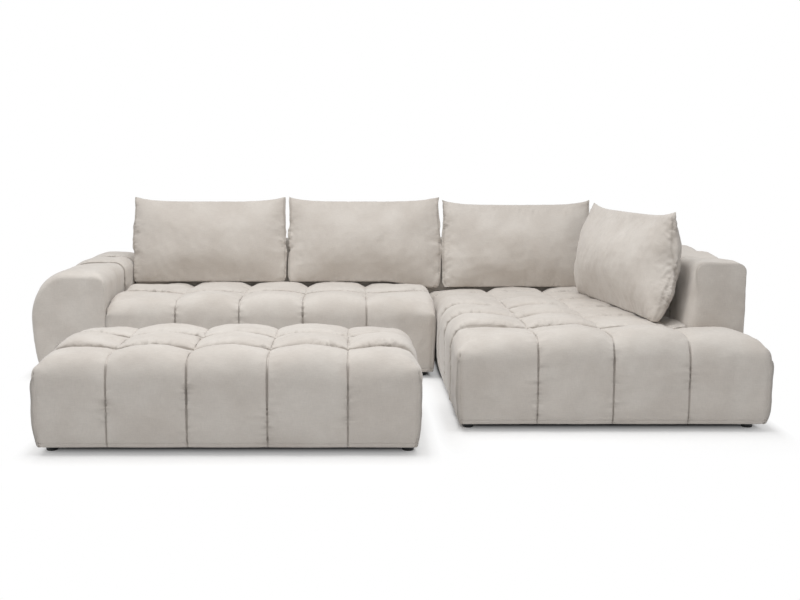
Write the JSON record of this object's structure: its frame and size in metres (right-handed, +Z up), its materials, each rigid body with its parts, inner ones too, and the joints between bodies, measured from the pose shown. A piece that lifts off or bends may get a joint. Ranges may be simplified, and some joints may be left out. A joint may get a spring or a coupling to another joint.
{
  "type": "corner sofa with ottoman",
  "caption": "Modular corner sofa: seat module with a rounded arm, chaise with a side block, loose back cushions and a matching tufted ottoman on low feet.",
  "frame": {"origin": "on the floor, under the centre of the whole set's bounding box", "axes": "+X towards the chaise's outer side, +Y towards the rear, +Z up"},
  "size_m": [3.226, 2.443, 0.8498],
  "materials": {
    "upholstery_fabric": "fine woven matt velour, warm light grey",
    "dust_cloth": "black non-woven",
    "foam": "open-cell foam",
    "fibre_filling": "loose fibre in a plain liner",
    "zip_tape": "zip tape",
    "webbing": "elastic weave",
    "frame_wood": "raw plywood and pine",
    "black_plastic": "satin black",
    "zinc_steel": "zinc plated"
  },
  "bodies": {
    "sofa": {"main_seat_cover": "upholstery_fabric", "main_seat_foam": "foam", "main_webbing": "webbing", "main_base_frame": "frame_wood", "main_dust_cover": "dust_cloth", "main_arm_cover": "upholstery_fabric", "main_arm_frame": "frame_wood", "main_arm_foam": "foam", "main_back_cover": "upholstery_fabric", "main_back_frame": "frame_wood", "main_back_foam": "foam", "main_frame_bolts": "zinc_steel", "main_feet": "black_plastic", "main_foot_bolts": "zinc_steel", "chaise_seat_cover": "upholstery_fabric", "chaise_seat_foam": "foam", "chaise_webbing": "webbing", "chaise_base_frame": "frame_wood", "chaise_dust_cover": "dust_cloth", "chaise_block_cover": "upholstery_fabric", "chaise_block_frame": "frame_wood", "chaise_block_foam": "foam", "chaise_back_cover": "upholstery_fabric", "chaise_back_frame": "frame_wood", "chaise_back_foam": "foam", "chaise_frame_bolts": "zinc_steel", "chaise_feet": "black_plastic", "chaise_foot_bolts": "zinc_steel", "joining_plates": "zinc_steel", "joining_screws": "zinc_steel"},
    "left_cushion": {"left_cushion_cover": "upholstery_fabric", "left_cushion_filling": "fibre_filling", "left_cushion_zip": "zip_tape"},
    "middle_cushion": {"middle_cushion_cover": "upholstery_fabric", "middle_cushion_filling": "fibre_filling", "middle_cushion_zip": "zip_tape"},
    "right_cushion": {"right_cushion_cover": "upholstery_fabric", "right_cushion_filling": "fibre_filling", "right_cushion_zip": "zip_tape"},
    "side_cushion": {"side_cushion_cover": "upholstery_fabric", "side_cushion_filling": "fibre_filling", "side_cushion_zip": "zip_tape"},
    "ottoman": {"ottoman_cover": "upholstery_fabric", "ottoman_foam": "foam", "ottoman_webbing": "webbing", "ottoman_base_frame": "frame_wood", "ottoman_dust_cover": "dust_cloth", "ottoman_feet": "black_plastic", "ottoman_foot_bolts": "zinc_steel"}
  },
  "joints": [
    {"name": "left_cushion_lift", "type": "slide", "parent": "sofa", "child": "left_cushion", "axis": [0, 0, 1], "range_m": [0, 0.4]},
    {"name": "middle_cushion_lift", "type": "slide", "parent": "sofa", "child": "middle_cushion", "axis": [0, 0, 1], "range_m": [0, 0.4]},
    {"name": "right_cushion_lift", "type": "slide", "parent": "sofa", "child": "right_cushion", "axis": [0, 0, 1], "range_m": [0, 0.4]},
    {"name": "side_cushion_lift", "type": "slide", "parent": "sofa", "child": "side_cushion", "axis": [0, 0, 1], "range_m": [0, 0.4]},
    {"name": "ottoman_move", "type": "slide", "parent": "sofa", "child": "ottoman", "axis": [0, 1, 0], "range_m": [-0.4, 0.45]}
  ]
}
